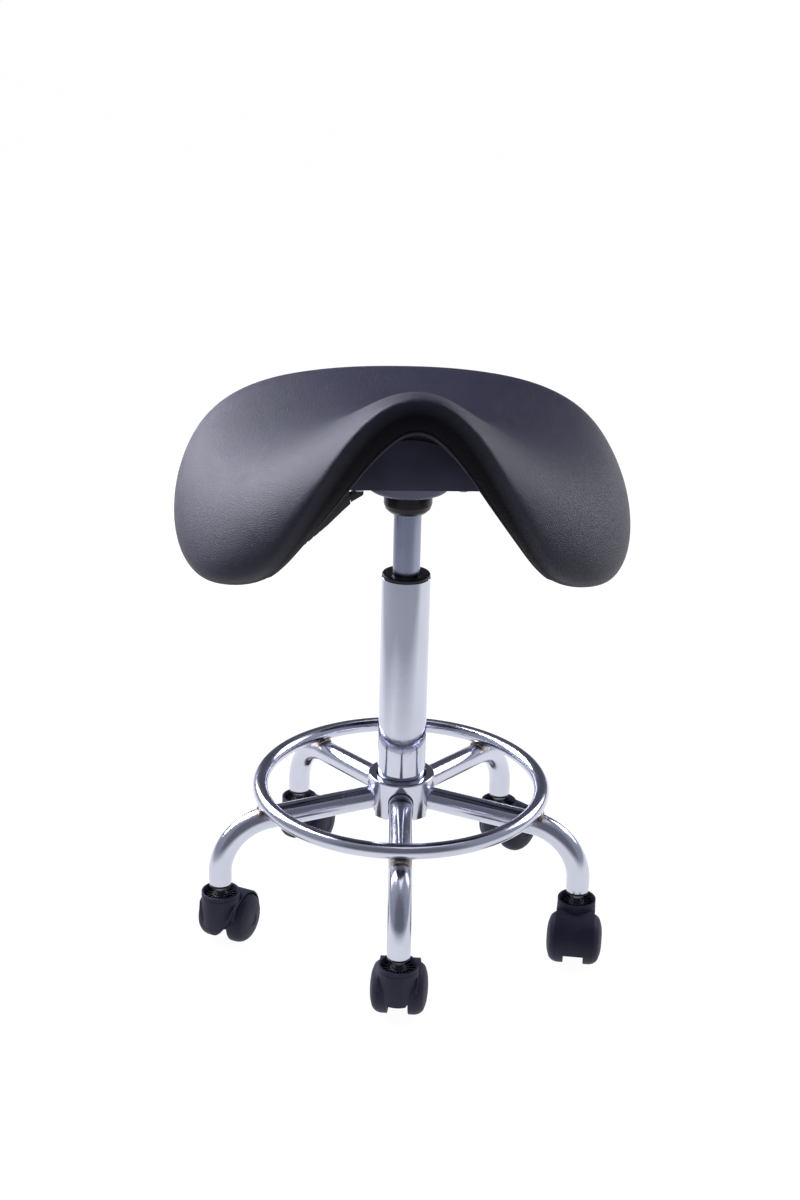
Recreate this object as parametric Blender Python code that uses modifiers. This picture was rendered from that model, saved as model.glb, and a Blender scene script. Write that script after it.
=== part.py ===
"""Saddle stool for a dental surgery: five castors, a bent-tube star base with a foot ring,
a gas lift and a drooping moulded saddle seat.

Metres, +Z up. The origin is on the floor, on the column's axis. The pommel points to -Y,
and the sitter's right hand is on the -X side, where the lift lever is.
"""
import math

import bmesh
import bpy
from mathutils import Matrix, Vector

# ---------------------------------------------------------------- driving dimensions (metres)
GAP = 0.0003                 # clearance between pieces that touch

WHEEL_R = 0.0265             # castor wheel, to the flat of its tread
WHEEL_STEPS = 20
WHEEL_IN = 0.0103            # inner face of a wheel, from the castor's mid plane
WHEEL_OUT = 0.0287           # outer face
TRAIL = 0.018                # from the stem's axis to the wheel axle
HOOD_R = 0.0295              # hood over the wheels, outside
HOOD_W = 0.0200              # half width of the hood
CLEAR_R = 0.0275             # room for the wheels inside the hood
WEB_W = 0.0098               # half width of the web between the wheels
COLLAR_R = 0.0198            # open collar round the stem
COLLAR_IR = 0.0177
COLLAR_TOP = 0.0637
COLLAR_FLOOR = 0.0553
HOOD_BOTTOM = 0.0195         # underside of the web between the wheels
AXLE_R = 0.0030
STEM_R = 0.0050
STEM_LOW = 0.0310

LEG_END_Z = 0.0728           # lower end of the leg tubes
LEG_R = 0.1958               # castor pitch circle
LEG_TUBE = 0.0120            # leg tube radius
LEG_WALL = 0.0015
LEG_Z0 = 0.1533              # height of a leg's centre line where it would meet the axis
LEG_SLOPE = -0.0777          # fall of the straight part
LEG_BEND = 0.0570            # bend radius
LEG_START = 0.0300
FIRST_LEG = math.radians(-92.4)
TRAIL_DIR = (83.0, -99.5, 43.0, 59.0, 63.0)   # degrees, where each castor trails to

RING_R = 0.1483              # foot ring, centre line
RING_TUBE = 0.0080
RING_WALL = 0.0015
RING_Z = 0.1621

HUB_R = 0.0350
HUB_CORE_R = 0.0290
HUB_LOW = 0.1348
HUB_TOP = 0.1763
NOTCH_W = 0.0132             # half width of a notch
NOTCH_TOP = 0.1685

COLUMN_R = 0.0250
COLUMN_WALL = 0.0020
COLUMN_LOW = 0.1300
COLUMN_TOP = 0.3960
TUBE_R = 0.0140              # gas spring's pressure tube
TUBE_LOW = 0.2320
CONE_LOW = 0.4720            # where the tube's taper starts
TUBE_TOP = 0.5030
ROD_R = 0.0050

PLATE_Z = 0.5085             # underside of the mount plate
PLATE_T = 0.0030
BASE_LOW = PLATE_Z + PLATE_T + GAP
FOAM = 0.0380                # thickness of the seat's foam

DISH_LOW = 0.4885
SOCKET_LOW = 0.4706
LEVER_LOW = 0.5083           # underside of the lever's inner arm
LEVER_PIVOT = (-0.0270, 0.0, 0.5108)

# ---------------------------------------------------------------- scene
for old in list(bpy.data.objects):
    bpy.data.objects.remove(old)

stool = bpy.data.collections.new("saddle_stool")
cutters = bpy.data.collections.new("cutters")
bpy.context.scene.collection.children.link(stool)
bpy.context.scene.collection.children.link(cutters)


def material(name, colour, roughness, metallic):
    m = bpy.data.materials.new(name)
    m.use_nodes = True
    b = m.node_tree.nodes["Principled BSDF"]
    b.inputs["Base Color"].default_value = (*colour, 1.0)
    b.inputs["Roughness"].default_value = roughness
    b.inputs["Metallic"].default_value = metallic
    m.diffuse_color = (*colour, 1.0)
    return m


SKIN = ("skin", (0.022, 0.023, 0.032), 0.45, 0.0)
SHELL = ("base_board", (0.030, 0.031, 0.042), 0.60, 0.0)
CHROME = ("chrome", (0.78, 0.79, 0.82), 0.08, 1.0)
STEEL = ("steel", (0.42, 0.44, 0.50), 0.28, 1.0)
PLATE = ("plate", (0.20, 0.21, 0.28), 0.40, 0.7)
BLACK = ("black_plastic", (0.012, 0.012, 0.016), 0.40, 0.0)
CASTOR = ("castor_nylon", (0.040, 0.040, 0.058), 0.50, 0.0)


def add(name, mesh, look, where=stool):
    ob = bpy.data.objects.new(name, mesh)
    where.objects.link(ob)
    if look:
        mesh.materials.append(material(name, *look[1:]))
    return ob


def bake(ob, angle=35.0):
    """Turn the object's modifiers into its mesh, smooth where it is round."""
    dg = bpy.context.evaluated_depsgraph_get()
    dg.update()
    mesh = bpy.data.meshes.new_from_object(ob.evaluated_get(dg), depsgraph=dg)
    mesh.name = ob.name
    if ob.type == "MESH":
        old = ob.data
        ob.modifiers.clear()
        ob.data = mesh
        bpy.data.meshes.remove(old)
    else:
        new = bpy.data.objects.new(ob.name, mesh)
        name, home, place = ob.name, ob.users_collection[0], ob.matrix_world.copy()
        bm = bmesh.new()
        bm.from_mesh(mesh)
        bmesh.ops.remove_doubles(bm, verts=bm.verts, dist=1e-6)
        bm.to_mesh(mesh)
        bm.free()
        home.objects.link(new)
        new.matrix_world = place
        bpy.data.objects.remove(ob)
        new.name = name
        ob = new
    mesh.shade_smooth()
    mesh.set_sharp_from_angle(angle=math.radians(angle))
    return ob


def cutter(ob):
    ob.hide_render = True
    ob.display_type = "WIRE"
    return ob


def boolean(ob, tool, how="DIFFERENCE"):
    m = ob.modifiers.new(how.lower(), "BOOLEAN")
    m.operation = how
    m.object = tool
    m.solver = "EXACT"
    return ob


def cylinder(name, r, low, high, segments=24, look=None, r_top=None, turn=0.0, where=stool):
    bm = bmesh.new()
    bmesh.ops.create_cone(bm, cap_ends=True, segments=segments, radius1=r,
                          radius2=r if r_top is None else r_top, depth=high - low,
                          matrix=Matrix.Translation((0, 0, (low + high) / 2))
                          @ Matrix.Rotation(turn, 4, "Z"))
    mesh = bpy.data.meshes.new(name)
    bm.to_mesh(mesh)
    bm.free()
    return add(name, mesh, look, where)


def box(name, low, high, look=None, where=stool):
    bm = bmesh.new()
    size = Vector(high) - Vector(low)
    mid = (Vector(high) + Vector(low)) / 2
    bmesh.ops.create_cube(bm, size=1.0, matrix=Matrix.Translation(mid) @ Matrix.Diagonal((*size, 1.0)))
    mesh = bpy.data.meshes.new(name)
    bm.to_mesh(mesh)
    bm.free()
    return add(name, mesh, look, where)


def turned(name, profile, steps, look, closed=False, where=stool):
    """Profile of (radius, height) points, outer side from top to bottom, turned about Z."""
    mesh = bpy.data.meshes.new(name)
    n = len(profile)
    edges = [(i, i + 1) for i in range(n - 1)] + ([(n - 1, 0)] if closed else [])
    mesh.from_pydata([(r, 0.0, z) for r, z in profile], edges, [])
    ob = add(name, mesh, look, where)
    s = ob.modifiers.new("turn", "SCREW")
    s.axis = "Z"
    s.steps = s.render_steps = steps
    s.use_merge_vertices = True
    s.merge_threshold = 0.00001
    s.use_smooth_shade = True
    return ob


def slab(name, outline, half, look, where=stool):
    """A flat outline of (x, z) points, thickened to +-half along Y."""
    cu = bpy.data.curves.new(name, "CURVE")
    cu.dimensions = "2D"
    cu.fill_mode = "BOTH"
    cu.extrude = half
    sp = cu.splines.new("POLY")
    sp.points.add(len(outline) - 1)
    for p, (x, z) in zip(sp.points, outline):
        p.co = (x, z, 0.0, 1.0)
    sp.use_cyclic_u = True
    ob = bpy.data.objects.new(name, cu)
    where.objects.link(ob)
    if look:
        cu.materials.append(material(name, *look[1:]))
    ob.matrix_world = Matrix.Rotation(math.pi / 2, 4, "X")
    ob = bake(ob)
    ob.data.transform(ob.matrix_world)
    ob.matrix_world = Matrix.Identity(4)
    bm = bmesh.new()
    bm.from_mesh(ob.data)
    bmesh.ops.remove_doubles(bm, verts=bm.verts, dist=1e-6)
    bmesh.ops.recalc_face_normals(bm, faces=bm.faces)
    bm.to_mesh(ob.data)
    bm.free()
    return ob


def tube_path(name, points, radius, sides, look, capped, where=stool):
    cu = bpy.data.curves.new(name, "CURVE")
    cu.dimensions = "3D"
    cu.bevel_depth = radius
    cu.bevel_resolution = max(0, (sides - 4) // 2)
    cu.use_fill_caps = capped
    sp = cu.splines.new("POLY")
    sp.points.add(len(points) - 1)
    for p, co in zip(sp.points, points):
        p.co = (*co, 1.0)
    ob = bpy.data.objects.new(name, cu)
    where.objects.link(ob)
    if look:
        cu.materials.append(material(name, *look[1:]))
    return ob


def arc(cx, cz, r, a0, a1, n):
    return [(cx + r * math.cos(math.radians(a0 + (a1 - a0) * i / n)),
             cz + r * math.sin(math.radians(a0 + (a1 - a0) * i / n))) for i in range(n + 1)]


# ---------------------------------------------------------------- seat foam
# Rows run from the front lip to the rear rim, and each row from the middle to the side.
SEAT_SHIFT = -0.0025          # the moulding sits this far to the left of the lift
SEAT_ROWS = (
    ((0, -186, 634), (32, -185, 624), (63, -180, 589), (90, -171, 538), (117, -156, 483), (145, -132, 428)),
    ((0, -146, 632), (38, -147, 620), (77, -144, 581), (115, -136, 533), (156, -122, 478), (199, -100, 420)),
    ((0, -88, 612), (43, -88, 600), (89, -86, 569), (138, -80, 531), (192, -70, 479), (223, -52, 416)),
    ((0, -22, 580), (49, -22, 572), (99, -20, 554), (155, -16, 527), (214, -8, 486), (240, 4, 424)),
    ((0, 52, 560), (53, 52, 558), (105, 53, 549), (163, 56, 533), (222, 62, 502), (246, 70, 445)),
    ((0, 128, 562), (53, 128, 562), (105, 129, 557), (157, 130, 543), (211, 132, 520), (241, 134, 474)),
    ((0, 206, 573), (51, 205, 572), (103, 202, 567), (149, 196, 559), (190, 185, 541), (218, 169, 508)),
)


def saddle(name, foam, look, where=stool):
    rows, cols = len(SEAT_ROWS), 2 * len(SEAT_ROWS[0]) - 1
    whole = [[(-x, y, z) for x, y, z in row[:0:-1]] + list(row) for row in SEAT_ROWS]
    verts = [(x / 1000 + SEAT_SHIFT, y / 1000, z / 1000) for row in whole for x, y, z in row]
    faces = [(r * cols + c, r * cols + c + 1, (r + 1) * cols + c + 1, (r + 1) * cols + c)
             for r in range(rows - 1) for c in range(cols - 1)]
    mesh = bpy.data.meshes.new(name)
    mesh.from_pydata(verts, [], faces)
    ob = add(name, mesh, look, where)
    s = ob.modifiers.new("foam", "SOLIDIFY")
    s.thickness = foam
    s.offset = -1.0
    s.use_even_offset = True
    u = ob.modifiers.new("soft", "SUBSURF")
    u.levels = u.render_levels = 1
    return ob


seat = bake(saddle("saddle_seat", FOAM, SKIN), 60.0)


# ---------------------------------------------------------------- seat hardware
# Stiffener board moulded under the saddle: a block whose top follows the arch of the foam.
def base_board():
    low = BASE_LOW
    board = slab("seat_board", [(-0.076, low), (0.076, low), (0.076, 0.534), (0.034, 0.586), (-0.034, 0.586), (-0.076, 0.534)],
                 0.080, SHELL)
    slope = cutter(slab("board_slope", [(-0.100, 0.586), (0.030, 0.540), (0.100, 0.536), (0.100, 0.600), (-0.100, 0.600)],
                        0.100, None, cutters))
    slope.data.transform(Matrix.Rotation(math.pi / 2, 4, "Z"))
    boolean(board, slope)
    arch = cutter(saddle("board_arch", FOAM + 0.0014, None, cutters))
    boolean(board, arch)
    boolean(board, cutter(box("pocket_cut", (-0.062, -0.0160, low - 0.01), (0.022, 0.0160, low + 0.0110), where=cutters)))
    for k, (x, y) in enumerate(BOLTS):
        hole = cutter(cylinder("board_hole_%d" % k, 0.0037, low - 0.01, low + 0.0062, 8, where=cutters))
        hole.data.transform(Matrix.Translation((x, y, 0)))
        boolean(board, hole)
    return board


BOLTS = ((-0.050, -0.055), (0.050, -0.055), (-0.050, 0.055), (0.050, 0.055))
board = bake(base_board())


# Pressed mount plate: a flat flange drawn down into a dish that carries the cone socket.
def mount_plate():
    t, z = PLATE_T, PLATE_Z
    low = DISH_LOW
    flange = box("mount_plate", (-0.064, -0.070, z), (0.064, 0.070, z + t), PLATE)
    boolean(flange, cutter(cylinder("dish_hole", 0.0415, z - 0.01, z + t + 0.01, 24, where=cutters)))
    dish = cutter(turned("dish", [(0.0435, z + t / 2), (0.0430, low + 0.006), (0.0400, low), (0.0216, low),
                                  (0.0216, low + 0.003), (0.0385, low + 0.003), (0.0402, low + 0.0075),
                                  (0.0405, z + t / 2)], 24, None, closed=True, where=cutters))
    boolean(flange, dish, "UNION")
    boolean(flange, cutter(box("lever_slot", (-0.064 + 0.003, -0.0090, low + 0.0048), (-0.0330, 0.0090, z + t + 0.01), where=cutters)))
    px, _, pz = LEVER_PIVOT
    for side in (-1, 1):
        lug = box("lug_%d" % side, (px - 0.0045, min(side * 0.0075, side * 0.0105), low + 0.001),
                  (px + 0.0040, max(side * 0.0075, side * 0.0105), pz + 0.0048), where=cutters)
        boolean(flange, cutter(lug), "UNION")
    eye = cylinder("lug_eye", 0.00225, -0.02, 0.02, 12, where=cutters)
    eye.data.transform(Matrix.Translation(LEVER_PIVOT) @ Matrix.Rotation(math.pi / 2, 4, "X"))
    boolean(flange, cutter(eye))
    for k, (x, y) in enumerate(BOLTS):
        hole = cutter(cylinder("plate_hole_%d" % k, 0.0038, z - 0.01, z + t + 0.01, 8, where=cutters))
        hole.data.transform(Matrix.Translation((x, y, 0)))
        boolean(flange, hole)
    return flange


plate = bake(mount_plate())

for k, (x, y) in enumerate(BOLTS):
    z = PLATE_Z
    bolt = bake(turned("plate_bolt_%d" % (k + 1),
                       [(0.0, BASE_LOW + 0.0056), (0.0030, BASE_LOW + 0.0056), (0.0030, z - GAP), (0.0050, z - GAP),
                        (0.0050, z - 0.0045), (0.0, z - 0.0045)], 10, STEEL))
    bolt.location = (x, y, 0)

socket = bake(turned("cone_socket", [(0.0206, 0.5040), (0.0206, SOCKET_LOW), (0.01445, SOCKET_LOW), (0.01445, CONE_LOW),
                                     (0.01350, 0.5010), (0.01350, 0.5040)], 24, STEEL, closed=True))
cover = bake(turned("socket_cover", [(0.0244, DISH_LOW - GAP), (0.0244, 0.4740), (0.0226, 0.4685), (0.0180, 0.4652),
                                     (0.01450, 0.4652), (0.01450, 0.4672), (0.0212, 0.4700),
                                     (0.0212, DISH_LOW - GAP)], 24, BLACK, closed=True))

# Gas spring: the tube is held by its taper in the socket and slides in the column's bush.
tube = bake(turned("pressure_tube", [(0.0128, TUBE_TOP), (TUBE_R, CONE_LOW), (TUBE_R, TUBE_LOW + 0.0015),
                                     (0.0130, TUBE_LOW), (0.0115, TUBE_LOW), (0.0115, 0.4870),
                                     (0.0046, 0.4870), (0.0046, TUBE_TOP)], 24, STEEL, closed=True))
gland = bake(turned("tube_gland", [(0.0110, TUBE_LOW + 0.0180), (0.0110, TUBE_LOW + 0.0018), (0.0056, TUBE_LOW + 0.0018),
                                   (0.0056, TUBE_LOW + 0.0180)], 12, BLACK, closed=True))
release = bake(turned("release_pin", [(0.0, LEVER_LOW - GAP), (0.0020, LEVER_LOW - GAP), (0.0040, LEVER_LOW - GAP - 0.0012),
                                      (0.0040, 0.4800), (0.0, 0.4800)], 12, STEEL))

# Lift lever: a flat bar that rocks on its pin over the release pin and bends down outside.
px, _, pz = LEVER_PIVOT
BAR = [(0.0040, LEVER_LOW), (0.0040, LEVER_LOW + 0.005), (px - 0.004, LEVER_LOW + 0.005), (-0.0470, 0.5128), (-0.0505, 0.5095),
       (-0.0508, 0.4890), (-0.0585, 0.4828), (-0.0895, 0.4563), (-0.0866, 0.4529), (-0.0574, 0.4779), (-0.0571, 0.4751),
       (-0.0446, 0.4829), (-0.0448, 0.5060), (-0.0425, 0.5082), (px - 0.006, LEVER_LOW)]
bar = slab("lift_lever", BAR, 0.0050, BLACK)
eye = cylinder("lever_eye", 0.0022, -0.02, 0.02, 12, where=cutters)
eye.data.transform(Matrix.Translation(LEVER_PIVOT) @ Matrix.Rotation(math.pi / 2, 4, "X"))
boolean(bar, cutter(eye))
bar = bake(bar)
pivot = cylinder("lever_pivot_pin", 0.0019, -0.0118, 0.0118, 12, STEEL)
pivot.data.transform(Matrix.Translation(LEVER_PIVOT) @ Matrix.Rotation(math.pi / 2, 4, "X"))
pivot = bake(pivot)

GRIP = [(-0.0590, 0.4895), (-0.0640, 0.4862), (-0.0900, 0.4620), (-0.1080, 0.4440), (-0.1225, 0.4320), (-0.1265, 0.4262), (-0.1250, 0.4205),
        (-0.1195, 0.4190), (-0.1020, 0.4320), (-0.0806, 0.4515), (-0.0704, 0.4620), (-0.0640, 0.4686), (-0.0575, 0.4748)]
grip = slab("lever_grip", GRIP, 0.0090, BLACK)
seatbar = slab("grip_cut", [(-0.0511, 0.4895), (-0.0899, 0.4563), (-0.0866, 0.4525), (-0.0478, 0.4857)], 0.0053, None, cutters)
boolean(grip, cutter(seatbar))
grip = bake(grip)

# ---------------------------------------------------------------- column and rod
column = bake(turned("outer_column", [(0.0243, COLUMN_TOP), (COLUMN_R, COLUMN_TOP - 0.0015), (COLUMN_R, 0.1400), (0.0242, COLUMN_LOW),
                                      (0.0085, COLUMN_LOW), (0.0085, COLUMN_LOW + 0.0030), (COLUMN_R - COLUMN_WALL - 0.001, COLUMN_LOW + 0.0030),
                                      (COLUMN_R - COLUMN_WALL, 0.1380), (COLUMN_R - COLUMN_WALL, COLUMN_TOP)], 28, CHROME, closed=True))
bush = bake(turned("guide_bush", [(0.0238, COLUMN_TOP + 0.0035), (0.0246, COLUMN_TOP + 0.0020), (0.0246, COLUMN_TOP + GAP),
                                  (0.0225, COLUMN_TOP + GAP), (0.0225, 0.3300), (0.01435, 0.3300),
                                  (0.01435, COLUMN_TOP + 0.0035)], 24, BLACK, closed=True))
rod = bake(turned("piston_rod", [(0.0, 0.3300), (ROD_R, 0.3300), (ROD_R, 0.1412), (0.0080, 0.1412), (0.0080, 0.1392), (ROD_R, 0.1392),
                                 (ROD_R, 0.1230), (0.0, 0.1230)], 12, STEEL))
piston = bake(turned("piston", [(0.0108, 0.3250), (0.0110, 0.3235), (0.0110, 0.3125), (0.0108, 0.3110), (0.0056, 0.3110), (0.0056, 0.3250)],
                     12, BLACK, closed=True))
bearing = bake(turned("thrust_bearing", [(0.0120, 0.1388), (0.0120, 0.1334), (0.0058, 0.1334), (0.0058, 0.1388)], 16, STEEL, closed=True))
stop = bake(turned("bump_stop", [(0.0100, 0.1570), (0.0110, 0.1555), (0.0110, 0.1416), (0.0056, 0.1416), (0.0056, 0.1570)], 12, BLACK, closed=True))
clip = bake(turned("rod_clip", [(0.0095, 0.1297), (0.0095, 0.1282), (0.0056, 0.1282), (0.0056, 0.1297)], 12, STEEL, closed=True))

# ---------------------------------------------------------------- star base
hub = turned("base_hub", [(0.0335, HUB_TOP), (HUB_R, HUB_TOP - 0.0018), (HUB_R, HUB_LOW), (0.02560, HUB_LOW), (0.02560, HUB_TOP)],
             30, CHROME, closed=True)
for k in range(5):
    a = FIRST_LEG + k * math.tau / 5
    arch = slab("notch_%d" % k, [(-NOTCH_W, HUB_LOW - 0.01), (NOTCH_W, HUB_LOW - 0.01)]
                + arc(0.0, NOTCH_TOP - NOTCH_W, NOTCH_W, 0, 180, 6), 0.0050, None, cutters)
    arch.data.transform(Matrix.Rotation(a - math.pi / 2, 4, "Z") @ Matrix.Translation((0, HUB_CORE_R + 0.0050, 0)))
    boolean(hub, cutter(arch))
hub = bake(hub)


def leg_line():
    """Centre line of a leg in (radius, height): straight from the hub, then a bend to the vertical."""
    slope = math.atan(LEG_SLOPE)
    turn = slope + math.pi / 2
    corner = Vector((LEG_R, LEG_Z0 + LEG_SLOPE * LEG_R))
    d = Vector((math.cos(slope), math.sin(slope)))
    start = corner - d * LEG_BEND * math.tan(turn / 2)
    centre = start + Vector((math.sin(slope), -math.cos(slope))) * LEG_BEND
    pts = [(LEG_START, LEG_Z0 + LEG_SLOPE * LEG_START)]
    n = 6
    for i in range(n + 1):
        phi = turn * (1 - i / n)
        pts.append((centre.x + LEG_BEND * math.cos(phi), centre.y + LEG_BEND * math.sin(phi)))
    pts.append((LEG_R, LEG_END_Z))
    return pts


for k in range(5):
    a = FIRST_LEG + k * math.tau / 5
    c, s_ = math.cos(a), math.sin(a)
    leg = tube_path("leg_%d" % (k + 1), [(r * c, r * s_, z) for r, z in leg_line()], LEG_TUBE, 10, CHROME, False)
    leg = bake(leg)
    w = leg.modifiers.new("wall", "SOLIDIFY")
    w.thickness = LEG_WALL
    w.offset = -1.0
    w.use_even_offset = True
    leg = bake(leg, 50.0)

ring = turned("foot_ring", [(RING_R + RING_TUBE * math.cos(t), RING_Z + RING_TUBE * math.sin(t))
                            for t in [math.pi / 8 - i * math.tau / 8 for i in range(8)]], 40, CHROME, closed=True)
inner = turned("ring_bore", [(RING_R + (RING_TUBE - RING_WALL) * math.cos(t), RING_Z + (RING_TUBE - RING_WALL) * math.sin(t))
                             for t in [math.pi / 4 - i * math.tau / 4 for i in range(4)]], 40, None, closed=True, where=cutters)
boolean(ring, cutter(inner))
drain = cylinder("drain_hole", 0.0012, RING_Z - 0.012, RING_Z, 8, where=cutters)
drain.data.transform(Matrix.Rotation(FIRST_LEG + math.tau / 10, 4, "Z") @ Matrix.Translation((RING_R, 0, 0)))
boolean(ring, cutter(drain))
ring = bake(ring, 50.0)

# ---------------------------------------------------------------- castors
def housing_mesh():
    """Hood, web and open collar of a castor: the stem stands at the origin, the wheels trail to +X."""
    zc = AXLE_Z
    body = slab("castor_body", arc(TRAIL, zc, HOOD_R, -12, 112, 9) + [(-0.0100, 0.0500), (-0.0150, 0.0400), (-0.0160, 0.0262),
                (-0.0135, 0.0252), (0.0040, HOOD_BOTTOM), (0.0400, HOOD_BOTTOM)], HOOD_W - 0.0004, CASTOR, cutters)
    collar = cylinder("collar_cut", COLLAR_R, 0.0258, COLLAR_TOP, 18, where=cutters)
    boolean(body, cutter(collar), "UNION")
    for side in (-1, 1):     # the front panel narrows to the width between the wheels
        taper = slab("taper_%d" % side, [(side * y, z) for y, z in ((0.0240, 0.0150), (0.0088, 0.0150), (0.0092, 0.0262), (0.0140, 0.0320),
                     (0.0185, 0.0430), (0.0240, 0.0500))], 0.0110, CASTOR, cutters)
        taper.data.transform(Matrix.Translation((-0.0190, 0, 0)) @ Matrix.Rotation(math.pi / 2, 4, "Z"))
        boolean(body, cutter(taper))
    for side in (-1, 1):
        room = cylinder("room_%d" % side, CLEAR_R, 0.0, 0.03, 20, where=cutters)
        room.data.transform(Matrix.Translation((TRAIL, side * (WEB_W + 0.015), zc)) @ Matrix.Rotation(math.pi / 2, 4, "X")
                            @ Matrix.Translation((0, 0, -0.015)))
        boolean(body, cutter(room))
    boolean(body, cutter(cylinder("cup_cut", COLLAR_IR, COLLAR_FLOOR, COLLAR_TOP + 0.01, 18, where=cutters)))
    boolean(body, cutter(cylinder("stem_bore", STEM_R + 0.0005, STEM_LOW - 0.0006, COLLAR_TOP, 12, where=cutters)))
    bore = cylinder("axle_bore", AXLE_R + 0.00045, -0.02, 0.02, 10, where=cutters)
    bore.data.transform(Matrix.Translation((TRAIL, 0, zc)) @ Matrix.Rotation(math.pi / 2, 4, "X"))
    boolean(body, cutter(bore))
    return bake(body)


AXLE_Z = WHEEL_R
TREAD = WHEEL_R / math.cos(math.pi / WHEEL_STEPS)
body = housing_mesh()
W = WHEEL_OUT - WHEEL_IN
wheel = bake(turned("wheel_shape", [(0.0140, W), (TREAD - 0.0050, W - 0.0045), (TREAD, W - 0.0135), (TREAD, 0.0),
                                    (AXLE_R + 0.0003, 0.0), (AXLE_R + 0.0003, W)], WHEEL_STEPS, CASTOR, closed=True, where=cutters))

for k in range(5):
    a = FIRST_LEG + k * math.tau / 5
    n = k + 1
    foot = Vector((LEG_R * math.cos(a), LEG_R * math.sin(a), 0))
    swivel = bpy.data.objects.new("castor_%d_swivel" % n, None)
    stool.objects.link(swivel)
    swivel.location = foot
    swivel.rotation_euler.z = math.radians(TRAIL_DIR[k])
    stem = bake(turned("castor_stem_%d" % n, [(0.0, 0.0860), (STEM_R, 0.0860), (STEM_R, 0.0707), (0.0072, 0.0707),
                                               (0.0072, 0.0687), (STEM_R, 0.0687), (STEM_R, STEM_LOW), (0.0, STEM_LOW)], 12, STEEL))
    stem.location = foot
    insert = bake(turned("leg_insert_%d" % n, [(0.0096, 0.0860), (0.0096, LEG_END_Z - GAP), (0.0118, LEG_END_Z - GAP), (0.0118, 0.0711),
                                                (0.0056, 0.0711), (0.0056, 0.0860)], 12, BLACK, closed=True))
    insert.location = foot
    house = add("castor_%d_housing" % n, body.data.copy(), None)
    house.data.materials.clear()
    house.data.materials.append(material(house.name, *CASTOR[1:]))
    house.parent = swivel
    axle = cylinder("castor_%d_axle" % n, AXLE_R, -0.0240, 0.0240, 10, STEEL)
    axle.data.transform(Matrix.Rotation(math.pi / 2, 4, "X"))
    axle.parent = swivel
    axle.location = (TRAIL, 0, AXLE_Z)
    for side, word in ((1, "left"), (-1, "right")):
        roll = add("castor_%d_wheel_%s" % (n, word), wheel.data.copy(), None)
        roll.data.materials.clear()
        roll.data.materials.append(material(roll.name, *CASTOR[1:]))
        roll.data.transform(Matrix.Rotation(-side * math.pi / 2, 4, "X") @ Matrix.Translation((0, 0, WHEEL_IN))
                            @ Matrix.Rotation(math.pi / WHEEL_STEPS, 4, "Z"))
        roll.parent = swivel
        roll.location = (TRAIL, 0, AXLE_Z)

for shape in (body, wheel):
    bpy.data.objects.remove(shape)
for ob in cutters.objects:
    cutter(ob)
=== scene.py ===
"""Looks for the saddle stool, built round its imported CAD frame. Metres, +Z up, pommel at -Y."""
import math

import bmesh
import bpy
from mathutils import Matrix, Vector, noise


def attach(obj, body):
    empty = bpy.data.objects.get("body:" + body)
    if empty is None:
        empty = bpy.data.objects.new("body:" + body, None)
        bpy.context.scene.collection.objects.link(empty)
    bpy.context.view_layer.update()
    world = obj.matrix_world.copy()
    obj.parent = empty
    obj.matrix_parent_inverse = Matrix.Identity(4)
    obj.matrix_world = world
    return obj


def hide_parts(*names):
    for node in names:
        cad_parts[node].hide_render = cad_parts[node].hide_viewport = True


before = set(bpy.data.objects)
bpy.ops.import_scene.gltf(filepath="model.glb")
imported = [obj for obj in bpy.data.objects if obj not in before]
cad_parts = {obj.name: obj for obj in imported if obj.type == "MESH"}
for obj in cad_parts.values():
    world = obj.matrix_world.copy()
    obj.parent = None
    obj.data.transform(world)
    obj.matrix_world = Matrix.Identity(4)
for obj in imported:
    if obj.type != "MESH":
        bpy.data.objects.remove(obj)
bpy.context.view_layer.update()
scene = bpy.context.scene
scene.view_settings.view_transform = "Standard"

# ---------------------------------------------------------------- sizes, as in the CAD
GAP = 0.0003
FIRST_LEG = math.radians(-92.4)
TRAIL_DIR = (83.0, -99.5, 43.0, 59.0, 63.0)
WHEEL_R, WHEEL_IN, WHEEL_OUT, TRAIL = 0.0265, 0.0103, 0.0287, 0.018
HOOD_R, HOOD_W, CLEAR_R, WEB_W = 0.0295, 0.0200, 0.0275, 0.0098
COLLAR_R, COLLAR_IR, COLLAR_TOP, COLLAR_FLOOR = 0.0198, 0.0177, 0.0637, 0.0553
HOOD_BOTTOM, AXLE_R, STEM_R, STEM_LOW = 0.0195, 0.0030, 0.0050, 0.0310
LEG_END_Z, LEG_R, LEG_TUBE, LEG_WALL = 0.0728, 0.1958, 0.0120, 0.0015
LEG_Z0, LEG_SLOPE, LEG_BEND, LEG_START = 0.1533, -0.0777, 0.0570, 0.0300
RING_R, RING_TUBE, RING_Z = 0.1483, 0.0080, 0.1621
HUB_R, HUB_CORE_R, HUB_LOW, HUB_TOP = 0.0350, 0.0290, 0.1348, 0.1763
NOTCH_W, NOTCH_TOP = 0.0132, 0.1685
COLUMN_R, COLUMN_LOW, COLUMN_TOP = 0.0250, 0.1300, 0.3960
TUBE_R, TUBE_LOW, CONE_LOW, TUBE_TOP = 0.0140, 0.2320, 0.4720, 0.5030
PLATE_Z, PLATE_T, DISH_LOW, SOCKET_LOW = 0.5085, 0.0030, 0.4885, 0.4706
BASE_LOW = PLATE_Z + PLATE_T + GAP
LEVER_LOW, LEVER_PIVOT = 0.5083, (-0.0270, 0.0, 0.5108)
FOAM = 0.0380
BOLTS = ((-0.050, -0.055), (0.050, -0.055), (-0.050, 0.055), (0.050, 0.055))
LEG_DIRS = [FIRST_LEG + k * math.tau / 5 for k in range(5)]


# ---------------------------------------------------------------- shape helpers
def link(name, mesh):
    ob = bpy.data.objects.new(name, mesh)
    scene.collection.objects.link(ob)
    return ob


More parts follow.
